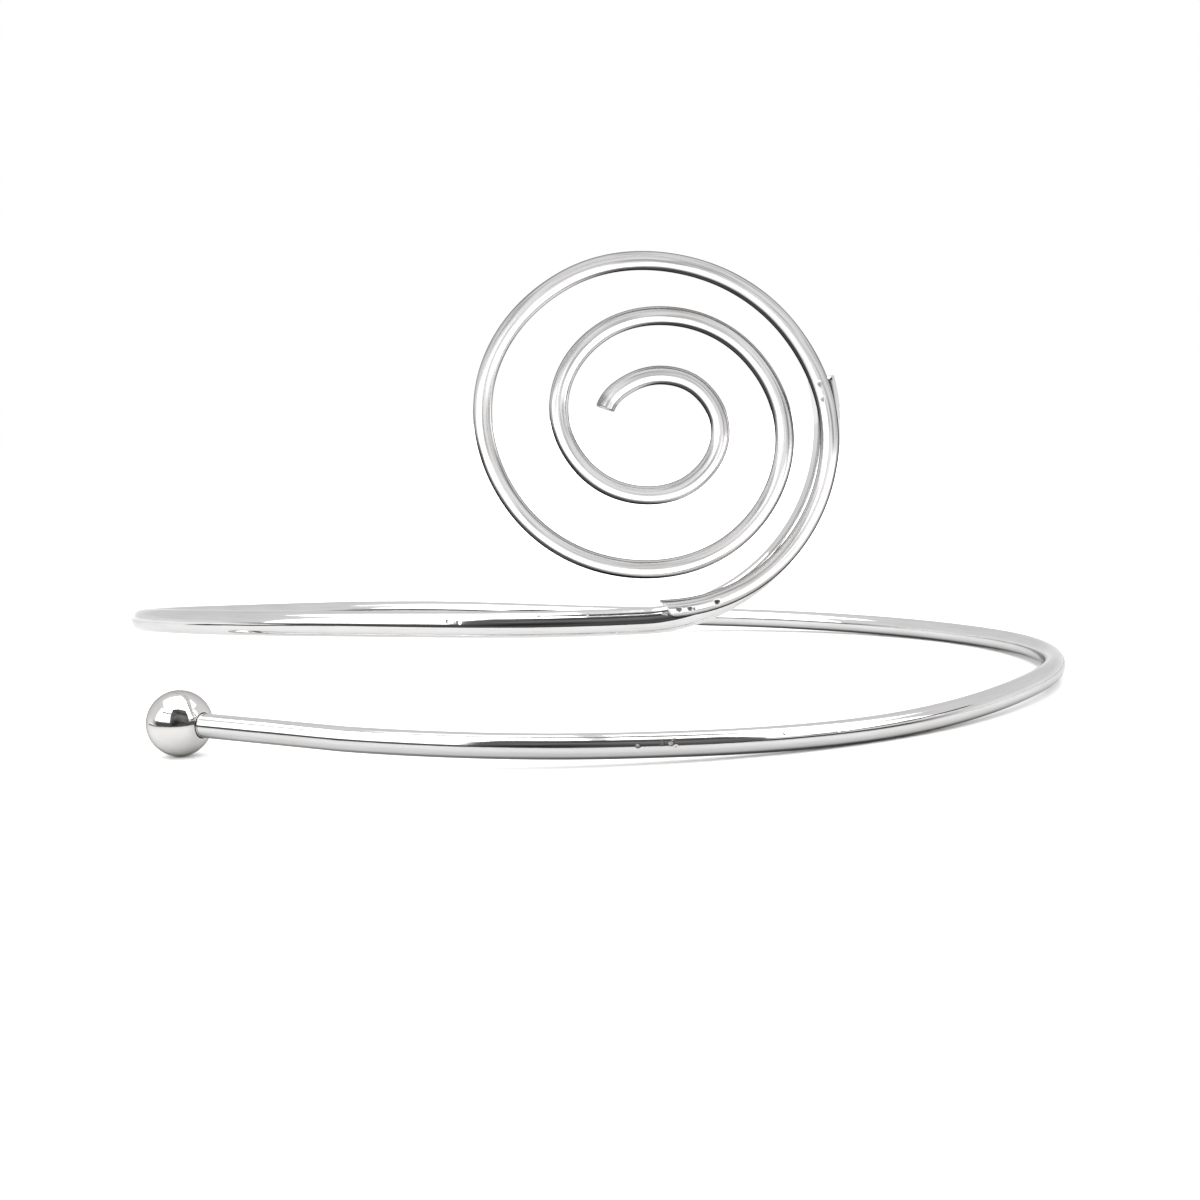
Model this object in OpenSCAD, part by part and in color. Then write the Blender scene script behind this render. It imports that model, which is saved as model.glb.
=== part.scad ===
// Upper arm cuff of round polished wire, lying on its side as it rests by itself.
// One band wire starts in a ball, runs once round the arm, climbs over its own start and
// turns up at the front. A thinner wire, rolled into a flat swirl, is soldered to the front
// of the upturned end.
// The origin is on the ring's axis, level with the surface that the cuff lies on.
// -Y is the front with the swirl, -X is the side where the ball lies, and +Z is up.

/* [Band wire] */
// Radius of the ring, from its axis to the middle of the wire
ring_r = 42; // [38:0.5:46]
// Diameter of the band wire
band_d = 2.05; // [1.8:0.05:2.4]
// How far the upper turn lies above the turn that rests on the surface
climb = 10; // [8:0.1:13]
// Length of the straight run that leads from the ring to the middle of the ball
straight_run = 16.6; // [12:0.2:22]

/* [Upturned end] */
// Straight stretch at the front, before the wire turns up
front_run = 2.6; // [0:0.2:4]
// Radius of the bend that turns the wire up
upturn_r = 14.5; // [13.5:0.1:15.5]
// Angle that the wire turns through before it is cut off
upturn_angle = 103; // [92:1:108]

/* [End ball] */
// Diameter of the ball
ball_d = 5.5; // [4.4:0.1:6.6]
// Clearance round the wire in the ball's blind hole
hole_gap = 0.05; // [0.03:0.01:0.08]
// How far the hole runs past the middle of the ball
hole_past_middle = 0.7; // [0.4:0.1:1.2]

/* [Swirl] */
// Diameter of the swirl wire
swirl_d = 1.4; // [1.2:0.05:1.6]
// Size of the swirl against the size in the radius table below
swirl_scale = 1; // [0.94:0.01:1.04]
// How far the swirl's middle lies to the right of the middle of the upturn
swirl_right = 1.5; // [1.3:0.1:1.7]
// How far the swirl's middle lies above the middle of the upturn
swirl_above = 0.7; // [0.5:0.1:0.9]
// Angle of the inner end about the swirl's middle, from +X towards +Z
inner_end_angle = 165; // [150:1:180]
// Angle that the swirl turns through, from its inner end to its tail
swirl_turn = 976; // [960:1:985]

/* [Solder] */
// How far the solder draws the two wires into each other
solder_sink = 0.1; // [0.05:0.01:0.15]
// Radius of the solder along the seam
solder_r = 0.55; // [0.45:0.05:0.65]

/* [Finish] */
// Rounding of the wires' cut ends
cut_round = 0.15; // [0.05:0.05:0.3]
// Sides of the band wire's section
band_sides = 16; // [12:4:20]
// Sides of the swirl wire's section
swirl_sides = 16; // [12:4:20]

/* [Hidden] */

// Shape of the ring: a row for each twelfth of a turn, from where the straight run leaves
// it to the front under the swirl. The columns are how far the wire spreads beyond ring_r,
// in millimetres, and its height above the resting turn as a share of the climb.
ring_shape = [
    [0.55, 0.11],
    [0.05, 0.05],
    [0.1, 0],
    [-0.05, 0.05],
    [0.1, 0.03],
    [0, 0],
    [-0.15, 0.03],
    [-0.05, 0.12],
    [0.3, 0.33],
    [0.85, 0.53],
    [1.5, 0.75],
    [1.5, 0.95],
    [0.8, 1.03],
    [0, 1]
];
twelfth = 30;

// Distance of the swirl wire's middle from the swirl's middle: a row for each full turn
// from the inner end outwards, a column for each eighth of a turn, in millimetres.
swirl_radii = [
    [3.8, 3.3, 3.4, 4.1, 5.0, 5.4, 5.7, 6.4],
    [7.3, 7.6, 7.8, 8.6, 9.9, 10.8, 11.3, 12.2],
    [12.9, 12.3, 11.6, 12.0, 13.3, 14.2, 14.1, 14.1]
];
eighth = 45;

band_r = band_d / 2;
swirl_r = swirl_d / 2;
ball_r = ball_d / 2;

// Heights of the wire's middle on the resting turn and on the upper turn
rest_h = band_r;
upper_h = band_r + climb;

// Angle of the front, where the band leaves the ring for the upturn, and of the ring's start
front_angle = 270;
start_angle = front_angle - twelfth * (len(ring_shape) - 1);
// Steps between stations along the wires
ring_step = 3.75;
straight_step = 3;
upturn_step = 4.5;
swirl_step = 8;

// Middle of the upturn's bend and of the swirl, as seen from the front: across, up
upturn_mid = [front_run, upper_h + upturn_r];
swirl_mid = upturn_mid + [swirl_right, swirl_above];
// Depth of the two wires at the front
band_front_y = -ring_r;
swirl_y = -(ring_r + band_r + swirl_r - solder_sink);

// Stretch of the swirl, as an angle from its inner end, that is soldered to the band
solder_from = swirl_turn - 96;
solder_to = swirl_turn - 4;
solder_step = 6;
solder_sides = 12;

ball_sides = 96;

function unit(v) = v / norm(v);
// Smooth curve through the entries of a list, at a place counted from its first entry
function smooth(list, place) =
    let (
        last = len(list) - 1,
        i = max(0, min(last - 1, floor(place))),
        f = place - i,
        v0 = list[max(0, i - 1)],
        v1 = list[i],
        v2 = list[i + 1],
        v3 = list[min(last, i + 2)]
    )
    v1 + f / 2 * ((v2 - v0)
        + f * ((2 * v0 - 5 * v1 + 4 * v2 - v3) + f * (3 * v1 - v0 - 3 * v2 + v3)));
// Values from first to last in equal steps close to step
function steps(first, last, step) =
    let (n = ceil(abs(last - first) / step))
    [for (i = [0 : n]) first + (last - first) * i / n];

// Path of the band wire

function ring_outward(a) = [cos(a), sin(a), 0];
function ring_point(a) =
    let (shape = smooth(ring_shape, (a - start_angle) / twelfth))
    (ring_r + shape[0]) * ring_outward(a) + [0, 0, rest_h + climb * shape[1]];

// The straight run leaves the ring along its tangent and rises evenly to the ball's middle
ring_start = ring_point(start_angle);
tangent_step = 1;
start_slope = ring_start - ring_point(start_angle + tangent_step);
straight_dir = unit([start_slope[0], start_slope[1], 0]);
straight_rise = (ball_r - ring_start[2]) / straight_run;
function straight_point(s) = ring_start + s * (straight_dir + [0, 0, straight_rise]);

ball_mid = straight_point(straight_run);
// The wire ends a little short of the bottom of the blind hole
wire_end_s = straight_run + hole_past_middle - 2 * hole_gap;
hole_dir = unit(ring_start - ball_mid);

function upturn_point(b) =
    [upturn_mid[0] + upturn_r * cos(b), band_front_y, upturn_mid[1] + upturn_r * sin(b)];

straight_stations = steps(wire_end_s, straight_step / 2, straight_step);
ring_stations = steps(start_angle, front_angle, ring_step);
upturn_stations = steps(-90, -90 + upturn_angle, upturn_step);

front_dir = [0, -1, 0];
band_path = concat(
    [for (s = straight_stations) straight_point(s)],
    [for (a = ring_stations) ring_point(a)],
    [for (b = upturn_stations) upturn_point(b)]
);
// Direction that faces away from the arm at each point of the path
band_outward = concat(
    [for (s = straight_stations) ring_outward(start_angle)],
    [for (a = ring_stations) ring_outward(a)],
    [for (b = upturn_stations) front_dir]
);

// Path of the swirl wire

swirl_list = [for (row = swirl_radii) for (r = row) r];
// Point of the swirl wire's middle, at an angle turned from the inner end
function swirl_point(turn) =
    let (a = inner_end_angle - turn, r = swirl_scale * smooth(swirl_list, turn / eighth))
    [swirl_mid[0] + r * cos(a), swirl_y, swirl_mid[1] + r * sin(a)];

swirl_path = [for (turn = steps(0, swirl_turn, swirl_step)) swirl_point(turn)];
swirl_outward = [for (p = swirl_path) front_dir];

// Round wire along a path

// Adds a point just inside each end, where the rounding of the cut begins
function inset_ends(path) =
    let (n = len(path) - 1)
    concat(
        [path[0], path[0] + cut_round * unit(path[1] - path[0])],
        [for (i = [1 : n - 1]) path[i]],
        [path[n] + cut_round * unit(path[n - 1] - path[n]), path[n]]
    );
function repeat_ends(list) = concat([list[0]], list, [list[len(list) - 1]]);

module round_wire(path, outward, r, sides) {
    middles = inset_ends(path);
    faces_out = repeat_ends(outward);
    last = len(middles) - 1;
    points = [
        for (i = [0 : last])
            let (
                along = unit(middles[min(last, i + 1)] - middles[max(0, i - 1)]),
                out = unit(faces_out[i] - (faces_out[i] * along) * along),
                side = cross(along, out),
                ring = (i == 0 || i == last) ? r - cut_round : r
            )
            for (k = [0 : sides - 1])
                middles[i] + ring * (cos(360 * k / sides) * out + sin(360 * k / sides) * side)
    ];
    walls = [
        for (i = [0 : last - 1])
            for (k = [0 : sides - 1])
                let (
                    a = i * sides + k,
                    b = i * sides + (k + 1) % sides,
                    c = a + sides,
                    d = b + sides
                )
                each [[a, c, b], [b, c, d]]
    ];
    first_cap = [for (k = [0 : sides - 1]) k];
    last_cap = [for (k = [sides - 1 : -1 : 0]) last * sides + k];
    polyhedron(points = points, faces = concat(walls, [first_cap, last_cap]), convexity = 10);
}

module band_wire() {
    round_wire(band_path, band_outward, band_r, band_sides);
}

module swirl_wire() {
    round_wire(swirl_path, swirl_outward, swirl_r, swirl_sides);
}

// Point of the band wire's skin that faces the swirl wire
function seam_point(turn) =
    let (
        s = swirl_point(turn),
        away = unit([s[0] - upturn_mid[0], s[2] - upturn_mid[1]]),
        b = [upturn_mid[0] + upturn_r * away[0], band_front_y, upturn_mid[1] + upturn_r * away[1]]
    )
    b + band_r * unit(s - b);

module solder_bead(turn) {
    translate(seam_point(turn)) sphere(r = solder_r, $fn = solder_sides);
}

// Solder drawn into the seam between the two wires
module solder_seam() {
    turns = steps(solder_from, solder_to, solder_step);
    for (i = [1 : len(turns) - 1])
        hull() {
            solder_bead(turns[i - 1]);
            solder_bead(turns[i]);
        }
}

// Band, swirl and solder are one piece of metal
module band_and_swirl() {
    color([0.78, 0.78, 0.79])
        union() {
            band_wire();
            swirl_wire();
            solder_seam();
        }
}

// Ball with a blind hole, pushed on the start of the band wire
module end_ball() {
    hole_r = band_r + hole_gap;
    color([0.82, 0.81, 0.81])
        difference() {
            translate(ball_mid) sphere(r = ball_r, $fn = ball_sides);
            translate(ball_mid - hole_past_middle * hole_dir)
                multmatrix(turn_z_to(hole_dir))
                    cylinder(r = hole_r, h = 2 * ball_r, $fn = ball_sides);
        }
}

// Turns +Z to the direction v
function turn_z_to(v) =
    let (x = unit(cross([0, 0, 1], v)), y = cross(v, x))
    [
        [x[0], y[0], v[0], 0],
        [x[1], y[1], v[1], 0],
        [x[2], y[2], v[2], 0],
        [0, 0, 0, 1]
    ];

band_and_swirl();
end_ball();
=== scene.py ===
import math

import bpy
import numpy as np
from bpy.props import FloatProperty, FloatVectorProperty, IntProperty, PointerProperty
from mathutils import Matrix, Vector, noise


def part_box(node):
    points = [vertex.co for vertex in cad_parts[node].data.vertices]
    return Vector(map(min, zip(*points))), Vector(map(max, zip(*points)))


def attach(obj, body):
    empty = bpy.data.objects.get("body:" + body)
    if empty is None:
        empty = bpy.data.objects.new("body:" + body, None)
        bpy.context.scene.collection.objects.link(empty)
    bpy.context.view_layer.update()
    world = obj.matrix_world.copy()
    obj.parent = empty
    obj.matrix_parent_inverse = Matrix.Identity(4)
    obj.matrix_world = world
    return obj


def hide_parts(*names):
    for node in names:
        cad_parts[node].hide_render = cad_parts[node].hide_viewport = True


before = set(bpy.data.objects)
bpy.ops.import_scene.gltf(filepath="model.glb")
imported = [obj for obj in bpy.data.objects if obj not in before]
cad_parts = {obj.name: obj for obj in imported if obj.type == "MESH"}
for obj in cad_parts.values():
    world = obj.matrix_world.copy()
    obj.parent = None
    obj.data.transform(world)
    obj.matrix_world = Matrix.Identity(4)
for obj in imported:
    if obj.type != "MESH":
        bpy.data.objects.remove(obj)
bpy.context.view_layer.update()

bl_info = {
    "name": "Wire Arm Cuff",
    "version": (1, 0, 0),
    "blender": (4, 5, 0),
    "location": "3D View > Sidebar > Arm Cuff",
    "description": "Builds a polished wire arm cuff with a ball end and a soldered swirl",
    "category": "Add Mesh",
}

MM = 0.001
BODY = "root"
WIRE_NODE = "band_and_swirl"
BALL_NODE = "end_ball"
FLOAT, COLOUR, VECTOR = "NodeSocketFloat", "NodeSocketColor", "NodeSocketVector"

ball_low, ball_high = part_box(BALL_NODE)
BALL_MIDDLE = np.array((ball_low + ball_high) / 2)
FRONT = np.array([0.0, -1.0, 0.0])
# Side of the swirl's wire that gets the darkest painted shade
SHADED_SIDE = np.array([-0.6, -0.05, -0.8])
DIRT = (0.12, 0.12, 0.12, 1)
SAWN_METAL = (0.45, 0.45, 0.45, 1)
# Near-black of the painted shade on the wires' underside, seam and one side of the swirl
PAINTED_SHADE_COLOUR = (0.02, 0.02, 0.02, 1)

# Shape of the ring: a row for each twelfth of a turn, from where the straight run leaves it to
# the front under the swirl. The columns are the wire's spread beyond the ring's radius, in
# millimetres, and its height above the resting turn as a share of the climb.
RING_SHAPE = (
    (0.55, 0.11),
    (0.05, 0.05),
    (0.1, 0.0),
    (-0.05, 0.05),
    (0.1, 0.03),
    (0.0, 0.0),
    (-0.15, 0.03),
    (-0.05, 0.12),
    (0.3, 0.33),
    (0.85, 0.53),
    (1.5, 0.75),
    (1.5, 0.95),
    (0.8, 1.03),
    (0.0, 1.0),
)
TWELFTH = 30
FRONT_ANGLE = 270
START_ANGLE = FRONT_ANGLE - TWELFTH * (len(RING_SHAPE) - 1)

# Distance of the swirl wire's middle from the swirl's middle, in millimetres: a row for each
# full turn from the inner end outwards, a column for each eighth of a turn.
SWIRL_RADII = (
    (3.8, 3.3, 3.4, 4.1, 5.0, 5.4, 5.7, 6.4),
    (7.3, 7.6, 7.8, 8.6, 9.9, 10.8, 11.3, 12.2),
    (12.9, 12.3, 11.6, 12.0, 13.3, 14.2, 14.1, 14.1),
)
EIGHTH = 45

# Pits in the soldered stretch of the swirl wire: degrees turned before its tail, degrees round
# the wire from its front towards its outer side, length, width and depth in millimetres, and
# how dark they are.
SOLDER_PITS = (
    (4.9, 3, 0.8, 0.5, 0.08, 0.85),
    (9.0, 8, 0.62, 0.46, 0.13, 0.9),
    (10.3, 14, 0.42, 0.3, 0.08, 0.85),
    (17.6, 10, 0.66, 0.54, 0.18, 0.96),
    (95.5, -17, 0.6, 0.5, 0.06, 0.62),
    (100.8, -6, 0.56, 0.46, 0.06, 0.62),
)
PIT_SEED = 3

# Flaws in the band's plating: angle round the ring in degrees, degrees round the wire from its
# outer side upwards, and the flaw's length and width in millimetres.
PLATING_FLAWS = (
    (-87.8, 14, 1.7, 0.9),
    (-84.4, 12, 1.9, 1.0),
    (-103, 20, 0.7, 0.45),
    (-72, 30, 2.6, 0.5),
    (-66, 26, 1.6, 0.45),
    (250.2, 22, 2.2, 0.8),
    (253.8, 16, 1.5, 0.7),
    (262, 52, 2.2, 0.35),
    (268, 50, 1.6, 0.35),
)


class CuffShape(bpy.types.PropertyGroup):
    """Sizes of the cuff, as its construction has them"""

    ring_radius: FloatProperty(
        name="Ring radius",
        description="From the ring's axis to the middle of the band wire",
        default=0.042,
        unit="LENGTH",
    )
    band_diameter: FloatProperty(
        name="Band wire",
        description="Diameter of the band wire",
        default=0.00205,
        unit="LENGTH",
    )
    climb: FloatProperty(
        name="Climb",
        description="Height of the upper turn above the turn that rests on the surface",
        default=0.01,
        unit="LENGTH",
    )
    front_run: FloatProperty(
        name="Front run",
        description="Straight stretch at the front, before the wire turns up",
        default=0.0026,
        unit="LENGTH",
    )
    upturn_radius: FloatProperty(
        name="Upturn radius",
        description="Radius of the bend that turns the wire up",
        default=0.0145,
        unit="LENGTH",
    )
    upturn_angle: FloatProperty(
        name="Upturn angle",
        description="Angle that the wire turns through before it is cut off",
        default=math.radians(103),
        subtype="ANGLE",
    )
    swirl_diameter: FloatProperty(
        name="Swirl wire",
        description="Diameter of the swirl wire",
        default=0.0014,
        unit="LENGTH",
    )
    swirl_right: FloatProperty(
        name="Swirl right",
        description="How far the swirl's middle lies to the right of the upturn's middle",
        default=0.0015,
        unit="LENGTH",
    )
    swirl_above: FloatProperty(
        name="Swirl above",
        description="How far the swirl's middle lies above the upturn's middle",
        default=0.0007,
        unit="LENGTH",
    )
    inner_end_angle: FloatProperty(
        name="Inner end",
        description="Angle of the inner end about the swirl's middle",
        default=math.radians(165),
        subtype="ANGLE",
    )
    swirl_turn: FloatProperty(
        name="Swirl turn",
        description="Angle that the swirl turns through, from its inner end to its tail",
        default=math.radians(976),
        subtype="ANGLE",
    )
    solder_stretch: FloatProperty(
        name="Soldered stretch",
        description="Angle of the swirl's tail that is soldered to the band",
        default=math.radians(96),
        subtype="ANGLE",
    )
    solder_sink: FloatProperty(
        name="Solder sink",
        description="How far the solder draws the two wires into each other",
        default=0.0001,
        unit="LENGTH",
    )
    solder_radius: FloatProperty(
        name="Solder radius",
        description="Radius of the solder along the seam",
        default=0.00055,
        unit="LENGTH",
    )
    tail_slant: FloatProperty(
        name="Tail slant",
        description="How far the outer side of the swirl's tail is cut back from its inner side",
        default=0.0013,
        unit="LENGTH",
    )
    cut_round: FloatProperty(
        name="Cut rounding",
        description="Rounding of the wires' cut ends",
        default=0.00015,
        unit="LENGTH",
    )
    ball_diameter: FloatProperty(
        name="Ball",
        description="Diameter of the ball on the start of the band wire",
        default=ball_high.z - ball_low.z,
        unit="LENGTH",
    )
    hole_gap: FloatProperty(
        name="Hole gap",
        description="Clearance round the wire in the ball's blind hole",
        default=0.00005,
        unit="LENGTH",
    )
    hole_past_middle: FloatProperty(
        name="Hole depth past the middle",
        description="How far the blind hole runs past the middle of the ball",
        default=0.0007,
        unit="LENGTH",
    )
    sides: IntProperty(
        name="Sides",
        description="Sides of the wires' round sections",
        default=64,
        min=16,
        max=96,
    )


class CuffFinish(bpy.types.PropertyGroup):
    """Colours and polish of the cuff's plating"""

    plating: FloatVectorProperty(
        name="Plating",
        description="Colour of the clean plating",
        default=(0.77, 0.77, 0.775),
        subtype="COLOR",
        size=3,
    )
    ball_plating: FloatVectorProperty(
        name="Ball plating",
        description="Colour of the ball's slightly warmer plating",
        default=(0.82, 0.805, 0.795),
        subtype="COLOR",
        size=3,
    )
    worn_plating: FloatVectorProperty(
        name="Worn plating",
        description="Colour of the plating where handling has warmed and dulled it",
        default=(0.71, 0.685, 0.675),
        subtype="COLOR",
        size=3,
    )
    # The pits' dark colour also goes over the solder, partly as painted shade of the seam
    pit_colour: FloatVectorProperty(
        name="Pits",
        description="Colour of the dark metal in the solder's pits",
        default=(0.05, 0.047, 0.045),
        subtype="COLOR",
        size=3,
    )
    ball_roughness: FloatProperty(
        name="Ball polish",
        description="Roughness of the ball's mirror polish",
        default=0.03,
        subtype="FACTOR",
    )
    band_roughness: FloatProperty(
        name="Band polish",
        description="Roughness of the band wire's polish",
        default=0.05,
        subtype="FACTOR",
    )
    swirl_roughness: FloatProperty(
        name="Swirl polish",
        description="Roughness of the swirl wire's softer polish",
        default=0.2,
        subtype="FACTOR",
    )
    solder_roughness: FloatProperty(
        name="Solder polish",
        description="Roughness of the solder along the seam",
        default=0.2,
        subtype="FACTOR",
    )


class CuffStage(bpy.types.PropertyGroup):
    """Camera, floor and light round the cuff"""

    camera_place: FloatVectorProperty(
        name="Camera place",
        description="Where the camera stands",
        default=(-0.00059, -0.1987, 0.02919),
        subtype="TRANSLATION",
        unit="LENGTH",
        size=3,
    )
    camera_down: FloatProperty(
        name="Camera down",
        description="How far the camera looks down from level",
        default=math.radians(5.98),
        subtype="ANGLE",
    )
    camera_roll: FloatProperty(
        name="Camera roll",
        description="How far the camera's right side tips down",
        default=math.radians(2.6),
        subtype="ANGLE",
    )
    camera_lens: FloatProperty(
        name="Lens",
        description="Focal length of the camera, in millimetres",
        default=62.22,
    )
    floor_span: FloatProperty(
        name="Floor span",
        description="Side of the square floor",
        default=3.0,
        unit="LENGTH",
    )
    floor_colour: FloatVectorProperty(
        name="Floor",
        description="Colour of the pale floor",
        default=(0.86, 0.86, 0.855),
        subtype="COLOR",
        size=3,
    )
    daylight: FloatProperty(
        name="Daylight",
        description="Brightness of the soft light that falls on the floor",
        default=2.5,
    )


def smooth(table, place):
    """Smooth curve through the rows of a table, at places counted from its first row."""
    rows = np.asarray(table, float)
    place = np.asarray(place, float)
    last = len(rows) - 1
    i = np.clip(np.floor(place).astype(int), 0, last - 1)
    f = (place - i).reshape(-1, *[1] * (rows.ndim - 1))
    before, here = rows[np.maximum(i - 1, 0)], rows[i]
    after, beyond = rows[i + 1], rows[np.minimum(i + 2, last)]
    bend = 2 * before - 5 * here + 4 * after - beyond
    twist = 3 * here - before - 3 * after + beyond
    return here + f / 2 * (after - before + f * (bend + f * twist))


def unit(v):
    """Vectors of length one along v."""
    return v / np.linalg.norm(v, axis=-1, keepdims=True)


def steps(first, last, step):
    """Values from first to last in equal steps close to step."""
    return np.linspace(first, last, int(math.ceil(abs(last - first) / step)) + 1)


def ring_points(shape, angles):
    """Middle of the band wire at angles round the ring, in degrees."""
    spread, share = smooth(RING_SHAPE, (angles - START_ANGLE) / TWELFTH).T
    radius = shape.ring_radius + spread * MM
    turn = np.radians(angles)
    height = shape.band_diameter / 2 + shape.climb * share
    return np.stack([radius * np.cos(turn), radius * np.sin(turn), height], 1)


def outward(angles):
    """Direction away from the arm at angles round the ring, in degrees."""
    turn = np.radians(angles)
    return np.stack([np.cos(turn), np.sin(turn), np.zeros_like(turn)], 1)


def upturn_middle(shape):
    """Middle of the upturn's bend, across and up as seen from the front."""
    upper = shape.band_diameter / 2 + shape.climb
    return np.array([shape.front_run, upper + shape.upturn_radius])


def upturn_points(shape, angles):
    """Middle of the band wire at angles about the upturn's middle, in degrees."""
    across, up = upturn_middle(shape)
    turn = np.radians(angles)
    depth = np.full_like(turn, -shape.ring_radius)
    radius = shape.upturn_radius
    return np.stack([across + radius * np.cos(turn), depth, up + radius * np.sin(turn)], 1)


def band_path(shape):
    """Middle of the band wire from the ball to the cut end, and the side that faces away."""
    ring_step, upturn_step, straight_step = 0.75, 1.5, 0.4 * MM
    start = ring_points(shape, np.array([float(START_ANGLE)]))[0]
    run = BALL_MIDDLE - start
    length = np.linalg.norm(run)
    wire_end = length + shape.hole_past_middle - 2 * shape.hole_gap
    along = steps(wire_end, straight_step / 2, straight_step)
    straight = start + along[:, None] * run / length
    angles = steps(START_ANGLE, FRONT_ANGLE, ring_step)
    ring = ring_points(shape, angles)
    bend = steps(-90, math.degrees(shape.upturn_angle) - 90, upturn_step)
    upturn = upturn_points(shape, bend)
    faces = [
        np.repeat(outward(np.array([float(START_ANGLE)])), len(along), 0),
        outward(angles),
        np.repeat(FRONT[None], len(bend), 0),
    ]
    return np.concatenate([straight, ring, upturn]), np.concatenate(faces)


def swirl_middle(shape):
    """Middle of the swirl, across and up as seen from the front."""
    return upturn_middle(shape) + [shape.swirl_right, shape.swirl_above]


def swirl_points(shape, turns):
    """Middle of the swirl wire at angles turned from its inner end, in degrees."""
    across, up = swirl_middle(shape)
    radius = smooth(np.ravel(SWIRL_RADII), turns / EIGHTH) * MM
    angle = shape.inner_end_angle - np.radians(turns)
    wires = (shape.band_diameter + shape.swirl_diameter) / 2
    depth = np.full_like(angle, -(shape.ring_radius + wires - shape.solder_sink))
    return np.stack([across + radius * np.cos(angle), depth, up + radius * np.sin(angle)], 1)


def swirl_path(shape):
    """Middle of the swirl wire, with close stations along its soldered stretch."""
    open_step, soldered_step, before_solder = 1.6, 0.3, 10
    last = math.degrees(shape.swirl_turn)
    close = last - math.degrees(shape.solder_stretch) - before_solder
    turns = np.concatenate([steps(0, close, open_step)[:-1], steps(close, last, soldered_step)])
    return swirl_points(shape, turns)


def slant_tail(shape, points, normals, straight):
    """Cuts the swirl's tail on a slant, so that its inner side runs on furthest."""
    reach_back = 2.2 * shape.swirl_diameter
    lengths = straight[:, 0, 0]
    share = np.clip(1 - (lengths[-1] - lengths) / reach_back, 0, 1)[:, None, None]
    middle = points.mean(1)
    across, up = swirl_middle(shape)
    away = unit((middle - [across, 0, up]) * [1, 0, 1])
    outer = (1 + (normals * away[:, None]).sum(2, keepdims=True)) / 2
    back = unit(middle[-4] - middle[-1])
    return points + shape.tail_slant * share * share * outer * back


def seam_path(shape):
    """Line along which the swirl wire meets the front of the band wire."""
    last = math.degrees(shape.swirl_turn)
    stretch = math.degrees(shape.solder_stretch)
    step, short_of_tail = 0.6, 9
    turns = steps(last - stretch, last - short_of_tail, step)
    swirl = swirl_points(shape, turns)
    middle = upturn_middle(shape)
    away = unit(swirl[:, [0, 2]] - middle)
    angles = np.degrees(np.arctan2(away[:, 1], away[:, 0]))
    band = upturn_points(shape, angles)
    return band + shape.band_diameter / 2 * unit(swirl - band)


def cut_ends(path, facing, radius, cut_round):
    """Adds stations that round both cut ends. Gives the section's radius at each station, and
    how much of a cut face it is."""
    stations = 6
    turn = np.radians(np.linspace(0, 90, stations))
    inset = cut_round * (1 - np.cos(turn))[:, None]
    radii = radius - cut_round + cut_round * np.sin(turn)
    first = path[0] + inset * unit(path[1] - path[0])
    last = path[-1] + inset * unit(path[-2] - path[-1])
    points = np.concatenate([first, path[1:-1], last[::-1]])
    first_face, last_face = (np.repeat(face[None], stations, 0) for face in (facing[0], facing[-1]))
    faces = np.concatenate([first_face, facing[1:-1], last_face])
    widths = np.concatenate([radii, np.full(len(path) - 2, radius), radii[::-1]])
    cuts = np.concatenate([np.cos(turn), np.zeros(len(path) - 2), np.cos(turn)[::-1]])
    return points, faces, widths, cuts


def sweep(path, facing, radii, sides):
    """Skin of a round wire: its points, their outward normals, and their places on the wire
    pulled straight."""
    along = unit(np.gradient(path, axis=0))
    out = unit(facing - (facing * along).sum(1, keepdims=True) * along)
    side = np.cross(along, out)
    angle = 2 * np.pi * np.arange(sides) / sides
    normals = np.cos(angle)[None, :, None] * out[:, None] + np.sin(angle)[None, :, None] * side[:, None]
    points = path[:, None] + radii[:, None, None] * normals
    lengths = np.concatenate([[0], np.cumsum(np.linalg.norm(np.diff(path, axis=0), axis=1))])
    straight = np.stack(
        [
            np.repeat(lengths[:, None], sides, 1),
            radii[:, None] * np.cos(angle),
            radii[:, None] * np.sin(angle),
        ],
        2,
    )
    return points, normals, straight


def grid_faces(rows, columns):
    """Quads between rows of points that run round a section."""
    row = np.arange(rows - 1)[:, None] * columns
    here, there = np.arange(columns), (np.arange(columns) + 1) % columns
    return np.stack([row + here, row + here + columns, row + there + columns, row + there], 2).reshape(-1, 4)


def add_object(name, data):
    """New object in the scene."""
    added = bpy.data.objects.new(name, data)
    bpy.context.scene.collection.objects.link(added)
    return added


def make_piece(name, points):
    """Object of a swept skin, shaded smooth, with flat cut ends."""
    rows, columns = points.shape[:2]
    last = (rows - 1) * columns
    ends = [list(range(columns)), [last + k for k in reversed(range(columns))]]
    faces = grid_faces(rows, columns).tolist() + ends
    mesh = bpy.data.meshes.new(name)
    mesh.from_pydata(points.reshape(-1, 3).tolist(), [], faces)
    curved = np.ones(len(faces), bool)
    curved[-len(ends) :] = False
    mesh.polygons.foreach_set("use_smooth", curved)
    mesh.update()
    return add_object(name, mesh)


def store(piece, name, kind, values):
    """Keeps values on a piece's points for its material."""
    attribute = piece.data.attributes.new(name, kind, "POINT")
    field = "vector" if kind == "FLOAT_VECTOR" else "value"
    attribute.data.foreach_set(field, np.asarray(values, np.float32).ravel())


def fit_frame(piece, low, high):
    """Stops if a piece leaves the box of the node that it stands for."""
    slack = 0.02 * MM
    points = np.array([v.co for v in piece.data.vertices])
    if (points.min(0) < np.array(low) - slack).any() or (points.max(0) > np.array(high) + slack).any():
        raise RuntimeError(f"{piece.name} leaves its node's box: {points.min(0)} to {points.max(0)}")


def seat(piece, node, material):
    """Gives a piece its finish, body and node."""
    piece.data.materials.append(material)
    low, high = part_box(node)
    fit_frame(piece, low, high)
    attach(piece, BODY)
    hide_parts(node)


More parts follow.
